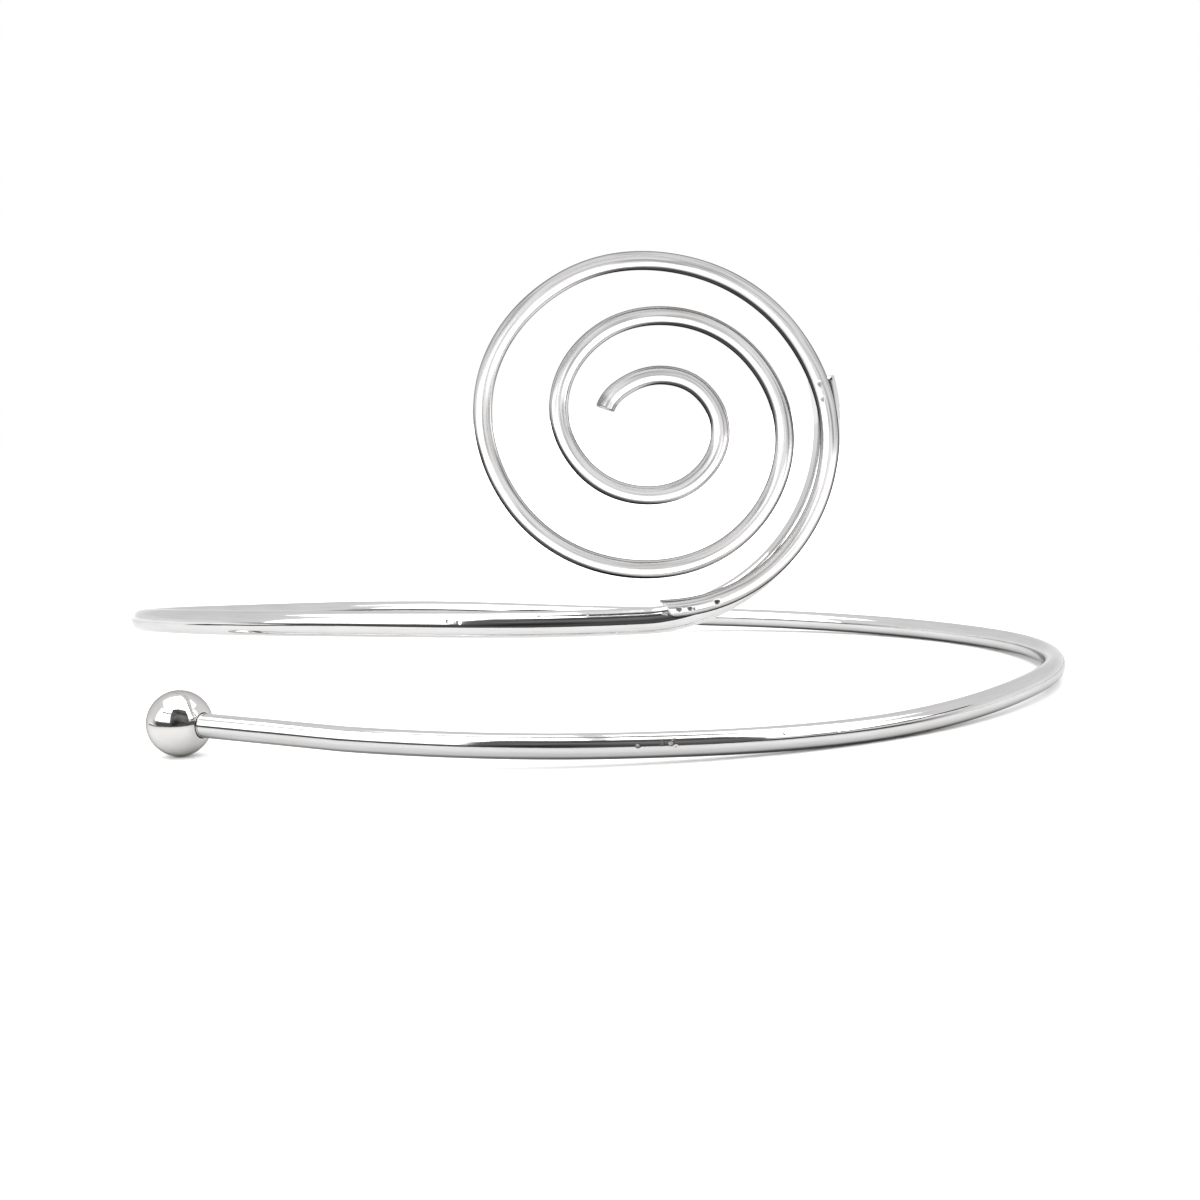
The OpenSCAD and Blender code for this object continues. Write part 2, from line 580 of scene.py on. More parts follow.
def ramp(values, low, high):
    """Smooth rise from nothing at low to one at high."""
    share = np.clip((values - low) / (high - low), 0, 1)
    return share * share * (3 - 2 * share)


def closeness(points, spot, along, length, width):
    """One at a spot, falling smoothly to nothing at the edge of a long ellipsoid round it."""
    away = points - spot
    lengthwise = (away * along).sum(-1)
    across = np.linalg.norm(away - lengthwise[..., None] * along, axis=-1)
    return ramp(1 - np.hypot(lengthwise / (length / 2), across / (width / 2)), 0, 1)


def new_group(name, inputs, outputs):
    """Empty shader node group with its sockets, and its input and output nodes."""
    group = bpy.data.node_groups.new(name, "ShaderNodeTree")
    for label, kind, value in inputs:
        socket = group.interface.new_socket(name=label, in_out="INPUT", socket_type=kind)
        if value is not None:
            socket.default_value = value
    for label, kind in outputs:
        group.interface.new_socket(name=label, in_out="OUTPUT", socket_type=kind)
    return group, group.nodes.new("NodeGroupInput").outputs, group.nodes.new("NodeGroupOutput").inputs


def feed(tree, socket, value):
    """Links a socket to the one that feeds it, or sets its own value."""
    if isinstance(value, bpy.types.NodeSocket):
        tree.links.new(value, socket)
    elif value is not None:
        socket.default_value = value


def maths(tree, operation, a, b=None, c=None):
    """Output of a Math node whose inputs are sockets or numbers."""
    node = tree.nodes.new("ShaderNodeMath")
    node.operation = operation
    for socket, value in zip(node.inputs, (a, b, c)):
        feed(tree, socket, value)
    return node.outputs[0]


def blend_colour(tree, share, a, b):
    """Output of a colour mix from a to b by a share."""
    node = tree.nodes.new("ShaderNodeMix")
    node.data_type = "RGBA"
    for socket, value in ((node.inputs[0], share), (node.inputs[6], a), (node.inputs[7], b)):
        feed(tree, socket, value)
    return node.outputs[2]


def stretched(tree, place, factors):
    """Output of a place whose three parts are scaled by factors."""
    node = tree.nodes.new("ShaderNodeVectorMath")
    node.operation = "MULTIPLY"
    node.inputs[1].default_value = factors
    tree.links.new(place, node.inputs[0])
    return node.outputs[0]


def clamped(tree, value):
    """Output of a value held between nothing and one."""
    return maths(tree, "MINIMUM", maths(tree, "MAXIMUM", value, 0.0), 1.0)


def noise_at(tree, place, scale, detail=2.0, roughness=0.5):
    """Noise texture at a place, as a value close to 0.5."""
    node = tree.nodes.new("ShaderNodeTexNoise")
    tree.links.new(place, node.inputs["Vector"])
    for label, value in (("Scale", scale), ("Detail", detail), ("Roughness", roughness)):
        feed(tree, node.inputs[label], value)
    return node.outputs[0]


def plating_wear_group():
    """Cloudy wear of the plating: its colour and its roughness."""
    group, given, put = new_group(
        "Plating wear",
        (
            ("Place", VECTOR, None),
            ("Clean", COLOUR, (0.8, 0.8, 0.8, 1)),
            ("Worn", COLOUR, (0.7, 0.7, 0.7, 1)),
            ("Patches", FLOAT, 200.0),
            ("Wear", FLOAT, 0.5),
            ("Polish", FLOAT, 0.05),
            ("Dulling", FLOAT, 0.05),
        ),
        (("Color", COLOUR), ("Roughness", FLOAT)),
    )
    contrast, level = 3.0, -1.1
    cloud = noise_at(group, given["Place"], given["Patches"], detail=3.0, roughness=0.6)
    spread = maths(group, "MULTIPLY_ADD", cloud, contrast, level)
    patch = maths(group, "MULTIPLY", clamped(group, spread), given["Wear"])
    group.links.new(blend_colour(group, patch, given["Clean"], given["Worn"]), put["Color"])
    group.links.new(maths(group, "MULTIPLY_ADD", patch, given["Dulling"], given["Polish"]), put["Roughness"])
    return group


def drawn_wire_group():
    """Relief of drawn and hand-bent wire, in millimetres: fine lines along it and slow ripples.
    Shade is the dirt that stays in the lines."""
    group, given, put = new_group(
        "Drawn wire",
        (
            ("Place", VECTOR, None),
            ("Lines", FLOAT, 9000.0),
            ("Line Depth", FLOAT, 0.0006),
            ("Ripple Depth", FLOAT, 0.004),
        ),
        (("Height", FLOAT), ("Shade", FLOAT)),
    )
    long_lines, ripples_per_metre = (0.03, 1, 1), (500, 900, 900)
    shade_contrast, shade_level = -5.0, 2.6
    drawn = noise_at(group, stretched(group, given["Place"], long_lines), given["Lines"])
    lines = maths(group, "MULTIPLY", drawn, given["Line Depth"])
    shade = clamped(group, maths(group, "MULTIPLY_ADD", drawn, shade_contrast, shade_level))
    group.links.new(shade, put["Shade"])
    ripples = noise_at(group, stretched(group, given["Place"], ripples_per_metre), 1.0)
    height = maths(group, "MULTIPLY_ADD", ripples, given["Ripple Depth"], lines)
    group.links.new(height, put["Height"])
    return group


def wire_marks_group():
    """Marks on a wire: dirt in its drawn lines, grey metal at its cuts, and dark painted shade."""
    group, given, put = new_group(
        "Wire marks",
        (
            ("Color", COLOUR, None),
            ("Roughness", FLOAT, None),
            ("Lines", FLOAT, None),
            ("Dirt", FLOAT, 0.1),
            ("Cut", FLOAT, None),
            ("Painted Shade", FLOAT, None),
        ),
        (("Color", COLOUR), ("Roughness", FLOAT)),
    )
    sawn_share, sawn_roughness, painted_shade_share = 0.5, 0.5, 0.9
    dirt = maths(group, "MULTIPLY", given["Lines"], given["Dirt"])
    lined = blend_colour(group, dirt, given["Color"], DIRT)
    sawn = maths(group, "MULTIPLY", given["Cut"], sawn_share)
    # Painted shade: darkens the colour towards near-black where the wire's stored shade is
    painted_shade = maths(group, "MULTIPLY", given["Painted Shade"], painted_shade_share)
    tone = blend_colour(group, painted_shade, blend_colour(group, sawn, lined, SAWN_METAL), PAINTED_SHADE_COLOUR)
    rough = maths(group, "MULTIPLY_ADD", given["Cut"], sawn_roughness, given["Roughness"])
    group.links.new(tone, put["Color"])
    group.links.new(rough, put["Roughness"])
    return group


def use_group(tree, build, name, values):
    """Places the group of that name in a material with its own values, and builds it once."""
    node = tree.nodes.new("ShaderNodeGroup")
    node.node_tree = bpy.data.node_groups.get(name) or build()
    for label, value in values.items():
        feed(tree, node.inputs[label], value)
    return node.outputs


def new_metal(name):
    """Material with a plain metallic shader, its tree and the shader's inputs."""
    material = bpy.data.materials.new(name)
    material.use_nodes = True
    tree = material.node_tree
    tree.nodes.clear()
    shader = tree.nodes.new("ShaderNodeBsdfPrincipled")
    output = tree.nodes.new("ShaderNodeOutputMaterial")
    tree.links.new(shader.outputs[0], output.inputs["Surface"])
    shader.inputs["Metallic"].default_value = 1.0
    return material, tree, shader.inputs


def kept(tree, name, output="Fac"):
    """Values kept on a piece's points."""
    node = tree.nodes.new("ShaderNodeAttribute")
    node.attribute_name = name
    return node.outputs[output]


def bump(tree, height):
    """Normal of a relief whose height is in millimetres."""
    node = tree.nodes.new("ShaderNodeBump")
    node.inputs["Distance"].default_value = MM
    tree.links.new(height, node.inputs["Height"])
    return node.outputs[0]


def colour(values):
    """A colour property with full alpha."""
    return (*values, 1.0)


def plating_wear(tree, place, clean, worn, patches, wear, polish, dulling):
    """Colour and roughness of a material's worn plating: its two colours, its patches to the
    metre, how far they wear, the roughness where it is clean, and how much wear adds to it."""
    values = {
        "Place": place,
        "Clean": colour(clean),
        "Worn": colour(worn),
        "Patches": patches,
        "Wear": wear,
        "Polish": polish,
        "Dulling": dulling,
    }
    return use_group(tree, plating_wear_group, "Plating wear", values)


def wire_metal(finish, name, polish, extra, wear, relief, dirt, edge):
    """Polished plating on drawn wire with dull cut ends. extra adds the piece's own marks, and
    edge is how bright the metal stays where it is seen at a grazing angle."""
    material, tree, shader = new_metal(name)
    place = kept(tree, "wire_place", "Vector")
    colours = finish.plating, finish.worn_plating
    tone = plating_wear(tree, place, *colours, patches=130.0, wear=wear, polish=polish, dulling=0.06)
    drawn = use_group(tree, drawn_wire_group, "Drawn wire", {"Place": place, **relief})
    marks = {
        "Color": tone["Color"],
        "Roughness": tone["Roughness"],
        "Lines": drawn["Shade"],
        "Dirt": dirt,
        "Cut": kept(tree, "cut"),
        "Painted Shade": kept(tree, "painted_shade"),
    }
    marked = use_group(tree, wire_marks_group, "Wire marks", marks)
    base, rough, height = extra(tree, place, marked["Color"], marked["Roughness"], drawn["Height"])
    tree.links.new(base, shader["Base Color"])
    shader["Specular Tint"].default_value = (edge, edge, edge, 1)
    tree.links.new(rough, shader["Roughness"])
    tree.links.new(bump(tree, height), shader["Normal"])
    return material


def flawed(tree, place, base, rough, height):
    """Adds small round blisters where the band's plating is flawed."""
    blisters_per_metre, blister_height, blister_dulling = 1600.0, 0.03, 0.4
    spot_edge, spot_size = -5.0, 1.9
    cells = tree.nodes.new("ShaderNodeTexVoronoi")
    cells.inputs["Scale"].default_value = blisters_per_metre
    tree.links.new(place, cells.inputs["Vector"])
    round_spots = clamped(tree, maths(tree, "MULTIPLY_ADD", cells.outputs["Distance"], spot_edge, spot_size))
    blisters = maths(tree, "MULTIPLY", round_spots, kept(tree, "flaw"))
    matt = maths(tree, "MULTIPLY_ADD", blisters, blister_dulling, rough)
    return base, matt, maths(tree, "MULTIPLY_ADD", blisters, blister_height, height)


def pitted(pit_colour):
    """Adds the dark pits of the soldered stretch."""

    def add(tree, place, base, rough, height):
        pit, pit_dulling = kept(tree, "pit"), 0.5
        dark = blend_colour(tree, pit, base, colour(pit_colour))
        return dark, maths(tree, "MULTIPLY_ADD", pit, pit_dulling, rough), height

    return add


def solder_metal(finish):
    """Flowed solder under the plating: lumpy, a little dull, with dark patches that are partly its own tone
    and partly painted shade of the seam.
    """
    material, tree, shader = new_metal("solder_plating")
    place = kept(tree, "wire_place", "Vector")
    # Dark patches over the solder: partly its own tone, partly painted shade of the seam between the wires
    colours, polish = (finish.plating, finish.pit_colour), finish.solder_roughness
    tone = plating_wear(tree, place, *colours, patches=900.0, wear=0.75, polish=polish, dulling=0.3)
    tree.links.new(tone["Color"], shader["Base Color"])
    tree.links.new(tone["Roughness"], shader["Roughness"])
    lumps_per_metre, lump_height = 2600.0, 0.03
    lumps = noise_at(tree, place, lumps_per_metre, detail=3.0, roughness=0.6)
    lumps = maths(tree, "MULTIPLY", lumps, lump_height)
    tree.links.new(bump(tree, lumps), shader["Normal"])
    return material


def ball_metal(finish):
    """Mirror polish of the ball, with a faint unevenness."""
    material, tree, shader = new_metal("ball_polish")
    place = tree.nodes.new("ShaderNodeTexCoord").outputs["Object"]
    colours, polish = (finish.ball_plating, finish.worn_plating), finish.ball_roughness
    tone = plating_wear(tree, place, *colours, patches=320.0, wear=0.7, polish=polish, dulling=0.05)
    tree.links.new(tone["Color"], shader["Base Color"])
    edge, waves_per_metre, wave_height = 0.5, 700.0, 0.006
    shader["Specular Tint"].default_value = (edge, edge, edge, 1)
    tree.links.new(tone["Roughness"], shader["Roughness"])
    waves = maths(tree, "MULTIPLY", noise_at(tree, place, waves_per_metre), wave_height)
    tree.links.new(bump(tree, waves), shader["Normal"])
    return material


def plating_flaws(shape, points):
    """How flawed the plating is at the points of the band wire."""
    strength = 1.6
    flaws = np.zeros(points.shape[:2])
    for angle, up, length, width in PLATING_FLAWS:
        here, ahead = ring_points(shape, np.array([float(angle), angle + 0.5]))
        lean = math.radians(up)
        side = math.cos(lean) * outward(np.array([float(angle)]))[0] + [0, 0, math.sin(lean)]
        spot = here + shape.band_diameter / 2 * side
        near = closeness(points, spot, unit(ahead - here), length * MM, width * MM)
        flaws = np.maximum(flaws, near)
    return np.minimum(strength * flaws, 1)


def band_painted_shade(shape, path, normals):
    """Painted shade under the part of the band wire that lies on the floor, on its downward side."""
    unshaded_height, start, full = 3.5 * MM, 0.58, 0.78
    lifted = path[:, 2] - shape.band_diameter / 2
    near_floor = np.clip(1 - lifted / unshaded_height, 0, 1)
    return ramp(-normals[..., 2], start, full) * near_floor[:, None]


def solder_pits(shape, points):
    """How dark and how deep the solder's pits are at the points of the swirl wire."""
    jitters_per_metre, jitter, sharpness = 5000, 0.09 * MM, 2.5
    noise.seed_set(PIT_SEED)
    shifts = [noise.noise_vector(Vector(p) * jitters_per_metre) for p in points.reshape(-1, 3)]
    uneven = points + np.array(shifts).reshape(points.shape) * jitter
    dark, deep = np.zeros(points.shape[:2]), np.zeros(points.shape[:2])
    tail = math.degrees(shape.swirl_turn)
    for before_tail, round_wire, length, width, depth, darkness in SOLDER_PITS:
        wire, ahead = swirl_points(shape, tail - before_tail + np.array([0, 0.5]))
        away = unit(wire[[0, 2]] - swirl_middle(shape))
        lean = math.radians(round_wire)
        side = math.cos(lean) * FRONT + math.sin(lean) * np.array([away[0], 0, away[1]])
        spot = wire + shape.swirl_diameter / 2 * side
        near = closeness(uneven, spot, unit(ahead - wire), length * MM, width * MM)
        dark = np.maximum(dark, darkness * np.clip(near * sharpness, 0, 1))
        deep = np.maximum(deep, near * depth * MM)
    return dark, deep


def swirl_painted_shade(shape, path, normals, lengths):
    """Painted shade on the swirl wire: on its lower left side and on the outer side of its soldered stretch,
    where it meets the band; and a lighter darkening at its inner end.
    """
    side_start, side_full, outer_start, outer_full = 0.4, 0.72, 0.5, 0.9
    soldered_start, soldered_full = 25 * MM, 21 * MM
    end_start, end_full = 1.1 * MM, 0.7 * MM
    soldered_share, end_share = 0.85, 0.4
    across, up = swirl_middle(shape)
    away = unit((path - [across, 0, up]) * [1, 0, 1])
    outer = ramp((normals * away[:, None]).sum(2), outer_start, outer_full)
    soldered = ramp(lengths[-1] - lengths, soldered_start, soldered_full)[:, None]
    inner_end = ramp(lengths, end_start, end_full)[:, None]
    # Painted shade on the wire's lower left side
    painted_shade = ramp(normals @ unit(SHADED_SIDE), side_start, side_full)
    for mark in (soldered_share * outer * soldered, end_share * inner_end):
        painted_shade = np.maximum(painted_shade, mark)
    return painted_shade


class ARMCUFF_OT_band_wire(bpy.types.Operator):
    """Adds the band wire, from the ball round the arm to the cut end of its upturn"""

    bl_idname = "armcuff.band_wire"
    bl_label = "Band wire"

    def execute(self, context):
        shape, finish = context.scene.cuff_shape, context.scene.cuff_finish
        path, facing = band_path(shape)
        path, facing, radii, cuts = cut_ends(path, facing, shape.band_diameter / 2, shape.cut_round)
        points, normals, straight = sweep(path, facing, radii, shape.sides)
        piece = make_piece("band_wire", points)
        store(piece, "wire_place", "FLOAT_VECTOR", straight)
        store(piece, "cut", "FLOAT", np.repeat(cuts, shape.sides))
        store(piece, "flaw", "FLOAT", plating_flaws(shape, points))
        # Painted shade under the band wire where it lies on the floor
        store(piece, "painted_shade", "FLOAT", band_painted_shade(shape, path, normals))
        metal = wire_metal(
            finish,
            "band_plating",
            finish.band_roughness,
            flawed,
            wear=0.6,
            relief={"Lines": 9000.0, "Line Depth": 0.0014, "Ripple Depth": 0.005},
            dirt=0.08,
            edge=0.85,
        )
        seat(piece, WIRE_NODE, metal)
        return {"FINISHED"}


class ARMCUFF_OT_swirl_wire(bpy.types.Operator):
    """Adds the swirl wire, with the pits that the soldering left in it"""

    bl_idname = "armcuff.swirl_wire"
    bl_label = "Swirl wire"

    def execute(self, context):
        shape, finish = context.scene.cuff_shape, context.scene.cuff_finish
        path = swirl_path(shape)
        facing = np.repeat(FRONT[None], len(path), 0)
        path, facing, radii, cuts = cut_ends(path, facing, shape.swirl_diameter / 2, shape.cut_round)
        points, normals, straight = sweep(path, facing, radii, shape.sides)
        dark, deep = solder_pits(shape, points)
        points = slant_tail(shape, points, normals, straight) - deep[..., None] * normals
        piece = make_piece("swirl_wire", points)
        store(piece, "wire_place", "FLOAT_VECTOR", straight)
        store(piece, "cut", "FLOAT", np.repeat(cuts, shape.sides))
        store(piece, "pit", "FLOAT", dark)
        # Painted shade on the swirl wire's lower left side and along its soldered seam
        store(piece, "painted_shade", "FLOAT", swirl_painted_shade(shape, path, normals, straight[:, 0, 0]))
        metal = wire_metal(
            finish,
            "swirl_plating",
            finish.swirl_roughness,
            pitted(finish.pit_colour),
            wear=0.8,
            relief={"Lines": 5200.0, "Line Depth": 0.005, "Ripple Depth": 0.004},
            dirt=0.55,
            edge=0.05,
        )
        seat(piece, WIRE_NODE, metal)
        return {"FINISHED"}


class ARMCUFF_OT_solder(bpy.types.Operator):
    """Adds the solder that fills the seam between the two wires"""

    bl_idname = "armcuff.solder"
    bl_label = "Solder"

    def execute(self, context):
        shape, finish = context.scene.cuff_shape, context.scene.cuff_finish
        sides, lump, lumps_per_metre = 32, 0.06, 700
        tapered_share, least = 1 / 7, 1e-4
        path = seam_path(shape)
        share = np.linspace(0, 1, len(path))
        ends = np.minimum(1, np.minimum(share, 1 - share) / tapered_share)
        radii = shape.solder_radius * np.sqrt(np.maximum(ends * (2 - ends), least))
        points, normals, straight = sweep(path, np.repeat(FRONT[None], len(path), 0), radii, sides)
        rough = [noise.noise(Vector(p) * lumps_per_metre) for p in points.reshape(-1, 3)]
        swell = np.array(rough).reshape(points.shape[:2]) * lump * MM - lump * MM / 2
        piece = make_piece("solder", points + swell[..., None] * normals)
        store(piece, "wire_place", "FLOAT_VECTOR", straight)
        seat(piece, WIRE_NODE, solder_metal(finish))
        return {"FINISHED"}


class ARMCUFF_OT_end_ball(bpy.types.Operator):
    """Adds the drilled ball on the start of the band wire"""

    bl_idname = "armcuff.end_ball"
    bl_label = "End ball"

    def execute(self, context):
        shape, finish = context.scene.cuff_shape, context.scene.cuff_finish
        turns, rows, first_row = 128, 110, 0.004
        rim_round, rim_rows, hole_bottom = 0.05 * MM, (60, 30, 0), 0.02 * MM
        radius = shape.ball_diameter / 2
        hole = shape.band_diameter / 2 + shape.hole_gap
        rim = math.asin((hole + rim_round) / radius)
        sphere = np.linspace(first_row, math.pi - rim, rows)
        up = list(-radius * np.cos(sphere))
        out = list(radius * np.sin(sphere))
        rim_up = radius * math.cos(rim) - rim_round / 2
        for turn in np.radians(rim_rows):
            up.append(rim_up + rim_round / 2 * math.sin(turn))
            out.append(hole + rim_round * (1 - math.cos(turn)))
        up += [-shape.hole_past_middle, -shape.hole_past_middle]
        out += [hole, hole_bottom]
        start = ring_points(shape, np.array([float(START_ANGLE)]))[0]
        axis = unit(start - BALL_MIDDLE)
        side = unit(np.cross(axis, [0.0, 0.0, 1.0]))
        other = np.cross(axis, side)
        angle = 2 * np.pi * np.arange(turns) / turns
        ring = np.cos(angle)[:, None] * side + np.sin(angle)[:, None] * other
        points = BALL_MIDDLE + np.array(up)[:, None, None] * axis + np.array(out)[:, None, None] * ring
        piece = make_piece("drilled_ball", points)
        seat(piece, BALL_NODE, ball_metal(finish))
        return {"FINISHED"}


# Pieces that share their lamps
POLISHED = ("band_wire", "solder", "drilled_ball")
SWIRL = ("swirl_wire",)

# Soft lights: middle and facing direction, width and height in metres, brightness, and the
# pieces that they light.
LIGHTS = (
    ("overhead_left", (-0.138, -0.1, 0.3), (0, 0, -1), 0.26, 0.4, 2.2, POLISHED),
    ("overhead_right", (0.138, -0.1, 0.3), (0, 0, -1), 0.26, 0.4, 2.2, POLISHED),
    ("side_left", (-0.18, -0.122, 0.135), (0.616, 0.788, 0), 0.2, 0.19, 1.5, POLISHED),
    ("side_right", (0.188, -0.112, 0.15), (-0.76, 0.65, 0), 0.19, 0.15, 1.4, POLISHED),
    ("swirl_front", (0.01, -0.16, 0.095), (0, 1, 0), 0.19, 0.19, 0.78, SWIRL),
    ("swirl_left", (-0.089, -0.1025, 0.027), (0.652, 0.758, 0), 0.161, 0.05, 1.5, SWIRL),
    ("swirl_right", (0.125, -0.05, 0.03), (-1, 0, 0), 0.21, 0.06, 0.75, SWIRL),
    ("swirl_table", (-0.02, -0.17, 0.0006), (0, 0, 1), 0.36, 0.23, 1.6, SWIRL),
)

# Dark cards that show only in reflections: middle and facing direction, width and height in
# metres.
CARDS = (
    ("dark_window", (0.013, -0.185, 0.1275), (0, 1, 0), 0.226, 0.255),
    ("dark_bar_left", (-0.145, -0.143, 0.135), (0.616, 0.788, 0), 0.12, 0.018),
    ("dark_bar_right", (0.18, -0.1, 0.068), (-1, 0, 0), 0.2, 0.02),
)

# In the metal's mirror the floor is dark in front of this Y, in metres, and on one patch, given
# by its middle and half its width in X and in Y. The rest loses a share of its brightness.
DARK_FLOOR_EDGE = -0.072
DARK_PATCH = ((-0.107, 0.028), (-0.038, 0.032))
MIRRORED_FLOOR_SHADE = 0.45
DARK_FLOOR = (0.08, 0.08, 0.08, 1)

# Greyness of the sky in reflections against the sine of its height, in front and behind.
FRONT_SKY = ((0.0, 0.1), (0.16, 0.1), (0.2, 0.85), (0.3, 0.9), (1.0, 0.92))
BACK_SKY = ((0.0, 1.0), (0.1, 0.95), (0.2, 0.85), (0.6, 0.8), (1.0, 0.92))


def faced(middle, direction):
    """Matrix that stands at middle with its -Z along a direction."""
    turn = Vector(direction).to_track_quat("-Z", "Y").to_matrix().to_4x4()
    return Matrix.Translation(middle) @ turn


def takers(names):
    """Collection of the pieces that a light falls on."""
    label = "lit " + " ".join(names)
    found = bpy.data.collections.get(label)
    if not found:
        found = bpy.data.collections.new(label)
        for name in names:
            found.objects.link(bpy.data.objects[name])
    return found


def flat_card(name, width, height):
    """Flat rectangle in its own XY plane."""
    mesh = bpy.data.meshes.new(name)
    w, h = width / 2, height / 2
    mesh.from_pydata([(-w, -h, 0), (w, -h, 0), (w, h, 0), (-w, h, 0)], [], [(0, 1, 2, 3)])
    card = add_object(name, mesh)
    return card


def choose(tree, share, shader, otherwise):
    """Output of a shader mix that gives shader by a share, and otherwise the other one."""
    node = tree.nodes.new("ShaderNodeMixShader")
    for socket, value in zip(node.inputs, (share, otherwise, shader)):
        tree.links.new(value, socket)
    return node.outputs[0]


def dark_card_material():
    """Dark streaky glow of the things round the stage that show only in reflections."""
    material = bpy.data.materials.new("dark_card")
    material.use_nodes = True
    tree = material.node_tree
    tree.nodes.clear()
    streaks_per_metre, contrast, level = (5, 13, 5), 3.0, -1.0
    patches_per_metre, raggedness, edge = 90.0, 2.4, 24.0
    darkest, palest = (0.02, 0.02, 0.02, 1), (0.24, 0.24, 0.24, 1)
    places = tree.nodes.new("ShaderNodeTexCoord").outputs
    streaks = noise_at(tree, stretched(tree, places["Object"], streaks_per_metre), 1.0, detail=3.0)
    streaks = clamped(tree, maths(tree, "MULTIPLY_ADD", streaks, contrast, level))
    glow = tree.nodes.new("ShaderNodeEmission")
    tree.links.new(blend_colour(tree, streaks, darkest, palest), glow.inputs["Color"])
    split = tree.nodes.new("ShaderNodeSeparateXYZ")
    tree.links.new(places["Generated"], split.inputs[0])
    inward = None
    for part in (split.outputs["X"], split.outputs["Y"]):
        near = maths(tree, "MINIMUM", part, maths(tree, "SUBTRACT", 1.0, part))
        inward = maths(tree, "MINIMUM", inward, near) if inward else near
    patches = noise_at(tree, places["Object"], patches_per_metre)
    ragged = maths(tree, "MULTIPLY_ADD", patches, raggedness, -raggedness / 2)
    cover = clamped(tree, maths(tree, "MULTIPLY_ADD", inward, edge, ragged))
    clear = tree.nodes.new("ShaderNodeBsdfTransparent").outputs[0]
    output = tree.nodes.new("ShaderNodeOutputMaterial")
    tree.links.new(choose(tree, cover, glow.outputs[0], clear), output.inputs["Surface"])
    return material


def floor_material(stage):
    """Pale floor with a faint mottle, and a sheen round the cuff. Parts of it are dark in the
    metal's mirror."""
    material, tree, shader = new_metal("pale_floor")
    shader["Metallic"].default_value = 0.0
    shader["Roughness"].default_value = 0.06
    shader["IOR"].default_value = 1.04
    place = tree.nodes.new("ShaderNodeTexCoord").outputs["Object"]
    blotches_per_metre, blotch_shade = 60.0, 0.98
    sheen_reach, sheen_fade = 0.12, 20.0
    mottle = noise_at(tree, place, blotches_per_metre, detail=3.0)
    darker = colour(blotch_shade * v for v in stage.floor_colour)
    pale = blend_colour(tree, mottle, colour(stage.floor_colour), darker)
    tree.links.new(pale, shader["Base Color"])
    split = tree.nodes.new("ShaderNodeSeparateXYZ")
    tree.links.new(place, split.inputs[0])
    x, y = split.outputs["X"], split.outputs["Y"]
    in_patch = maths(
        tree,
        "MULTIPLY",
        *(maths(tree, "COMPARE", part, *span) for part, span in zip((x, y), DARK_PATCH)),
    )
    in_front = maths(tree, "LESS_THAN", y, DARK_FLOOR_EDGE)
    dark = maths(tree, "MAXIMUM", maths(tree, "MAXIMUM", in_front, in_patch), MIRRORED_FLOOR_SHADE)
    mirrored = tree.nodes.new("ShaderNodeLightPath").outputs["Is Glossy Ray"]
    glow = tree.nodes.new("ShaderNodeEmission")
    glow.inputs["Color"].default_value = DARK_FLOOR
    output = next(n for n in tree.nodes if n.bl_idname == "ShaderNodeOutputMaterial")
    polished = output.inputs["Surface"].links[0].from_socket
    matt = tree.nodes.new("ShaderNodeBsdfDiffuse")
    tree.links.new(pale, matt.inputs["Color"])
    reach = tree.nodes.new("ShaderNodeVectorMath")
    reach.operation = "LENGTH"
    tree.links.new(place, reach.inputs[0])
    beyond = maths(tree, "SUBTRACT", reach.outputs["Value"], sheen_reach)
    far = clamped(tree, maths(tree, "MULTIPLY", beyond, sheen_fade))
    surface = choose(tree, far, matt.outputs[0], polished)
    surface = choose(tree, maths(tree, "MULTIPLY", dark, mirrored), glow.outputs[0], surface)
    tree.links.new(surface, output.inputs["Surface"])
    return material


def sky_grey(tree, height, stops):
    """Grey of the sky at a height, from a row of stops."""
    greys = tree.nodes.new("ShaderNodeValToRGB")
    tree.links.new(height, greys.inputs[0])
    elements = greys.color_ramp.elements
    while len(elements) < len(stops):
        elements.new(0.5)
    for element, (at, grey) in zip(elements, stops):
        element.position = at
        element.color = (grey, grey, grey, 1)
    return greys.outputs[0]


def add_world(stage):
    """Even white light on the floor and behind the cuff, and a grey sky in reflections."""
    world = bpy.data.worlds.new("studio")
    bpy.context.scene.world = world
    world.cycles.sampling_method = "NONE"
    world.use_nodes = True
    tree = world.node_tree
    tree.nodes.clear()
    split = tree.nodes.new("ShaderNodeSeparateXYZ")
    tree.links.new(tree.nodes.new("ShaderNodeTexCoord").outputs["Generated"], split.inputs[0])
    front = sky_grey(tree, split.outputs["Z"], FRONT_SKY)
    back = sky_grey(tree, split.outputs["Z"], BACK_SKY)
    change, level = 2.5, 0.7
    behind = clamped(tree, maths(tree, "MULTIPLY_ADD", split.outputs["Y"], change, level))
    rays = tree.nodes.new("ShaderNodeLightPath").outputs

    def background(grey, strength):
        node = tree.nodes.new("ShaderNodeBackground")
        node.inputs["Strength"].default_value = strength
        feed(tree, node.inputs["Color"], grey)
        return node.outputs[0]

    white = (1, 1, 1, 1)
    mirrored = background(blend_colour(tree, behind, front, back), 1.0)
    lit = choose(tree, rays["Is Glossy Ray"], mirrored, background(white, stage.daylight))
    shown = choose(tree, rays["Is Camera Ray"], background(white, 1.0), lit)
    output = tree.nodes.new("ShaderNodeOutputWorld")
    tree.links.new(shown, output.inputs["Surface"])


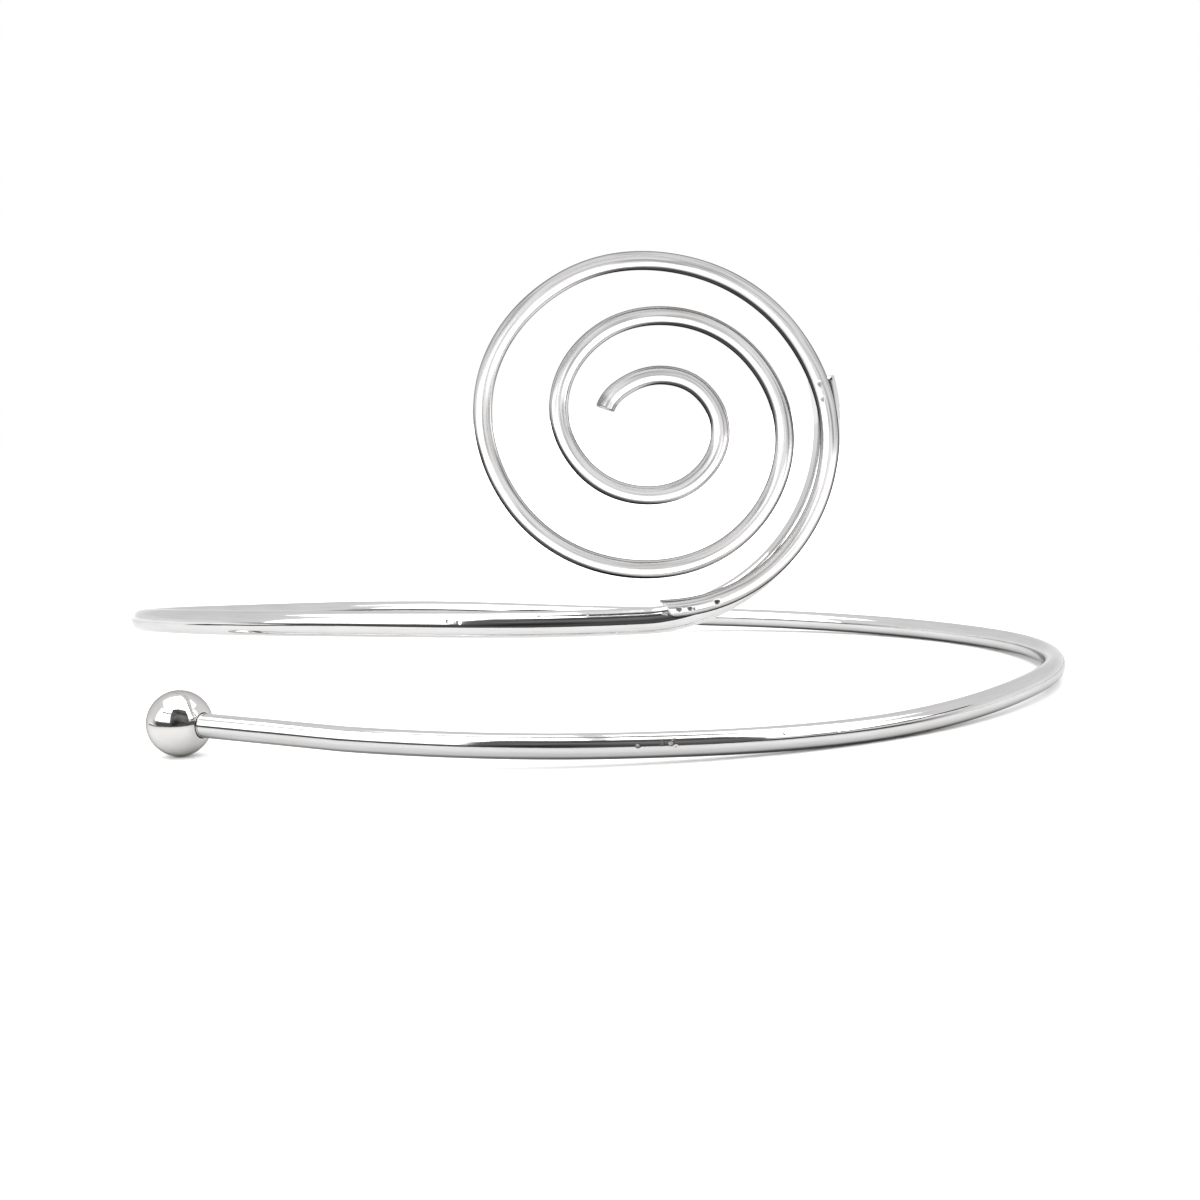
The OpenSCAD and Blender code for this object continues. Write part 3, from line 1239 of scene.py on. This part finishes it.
def add_lamps():
    """Adds the soft lights, each for its own pieces."""
    for name, middle, direction, width, height, brightness, pieces in LIGHTS:
        lamp = bpy.data.lights.new(name, "AREA")
        lamp.shape = "RECTANGLE"
        lamp.size, lamp.size_y = width, height
        lamp.energy = brightness * math.pi * width * height
        holder = add_object(name, lamp)
        holder.matrix_world = faced(middle, direction)
        holder.visible_camera = False
        holder.light_linking.receiver_collection = takers(pieces)


def add_cards():
    """Adds the dark cards that show only in reflections."""
    dark = dark_card_material()
    for name, middle, direction, width, height in CARDS:
        card = flat_card(name, width, height)
        card.data.materials.append(dark)
        card.matrix_world = faced(middle, direction)
        card.visible_camera = False
        card.visible_diffuse = False


def add_camera(stage):
    """Adds the camera and makes it the scene's own."""
    lens = bpy.data.cameras.new("camera")
    lens.sensor_width = 36
    lens.lens = stage.camera_lens
    lens.clip_start = 0.01
    camera = add_object("camera", lens)
    tilt = Matrix.Rotation(math.pi / 2 - stage.camera_down, 4, "X")
    roll = Matrix.Rotation(-stage.camera_roll, 4, "Z")
    camera.matrix_world = Matrix.Translation(stage.camera_place) @ tilt @ roll
    bpy.context.scene.camera = camera


class ARMCUFF_OT_stage(bpy.types.Operator):
    """Adds the floor, the soft light and the camera"""

    bl_idname = "armcuff.stage"
    bl_label = "Floor, light and camera"

    def execute(self, context):
        stage = context.scene.cuff_stage
        floor = flat_card("floor", stage.floor_span, stage.floor_span)
        floor.data.materials.append(floor_material(stage))
        add_lamps()
        add_cards()
        add_world(stage)
        add_camera(stage)
        context.scene.view_settings.view_transform = "Standard"
        return {"FINISHED"}


class ARMCUFF_PT_sidebar(bpy.types.Panel):
    """Lists the cuff's sizes, finishes and steps"""

    bl_idname = "ARMCUFF_PT_sidebar"
    bl_label = "Arm Cuff"
    bl_space_type = "VIEW_3D"
    bl_region_type = "UI"
    bl_category = "Arm Cuff"

    def draw(self, context):
        for group in (context.scene.cuff_shape, context.scene.cuff_finish, context.scene.cuff_stage):
            box = self.layout.box()
            for name in group.__annotations__:
                box.prop(group, name)
        for step in STEPS:
            self.layout.operator(step.bl_idname)


GROUPS = (("cuff_shape", CuffShape), ("cuff_finish", CuffFinish), ("cuff_stage", CuffStage))
STEPS = (
    ARMCUFF_OT_band_wire,
    ARMCUFF_OT_swirl_wire,
    ARMCUFF_OT_solder,
    ARMCUFF_OT_end_ball,
    ARMCUFF_OT_stage,
)


def register():
    for name, group in GROUPS:
        bpy.utils.register_class(group)
        setattr(bpy.types.Scene, name, PointerProperty(type=group))
    for step in (*STEPS, ARMCUFF_PT_sidebar):
        bpy.utils.register_class(step)


def unregister():
    for step in reversed((*STEPS, ARMCUFF_PT_sidebar)):
        bpy.utils.unregister_class(step)
    for name, group in reversed(GROUPS):
        delattr(bpy.types.Scene, name)
        bpy.utils.unregister_class(group)


def main():
    register()
    bpy.ops.armcuff.band_wire()
    bpy.ops.armcuff.swirl_wire()
    bpy.ops.armcuff.solder()
    bpy.ops.armcuff.end_ball()
    bpy.ops.armcuff.stage()


if __name__ == "__main__":
    main()
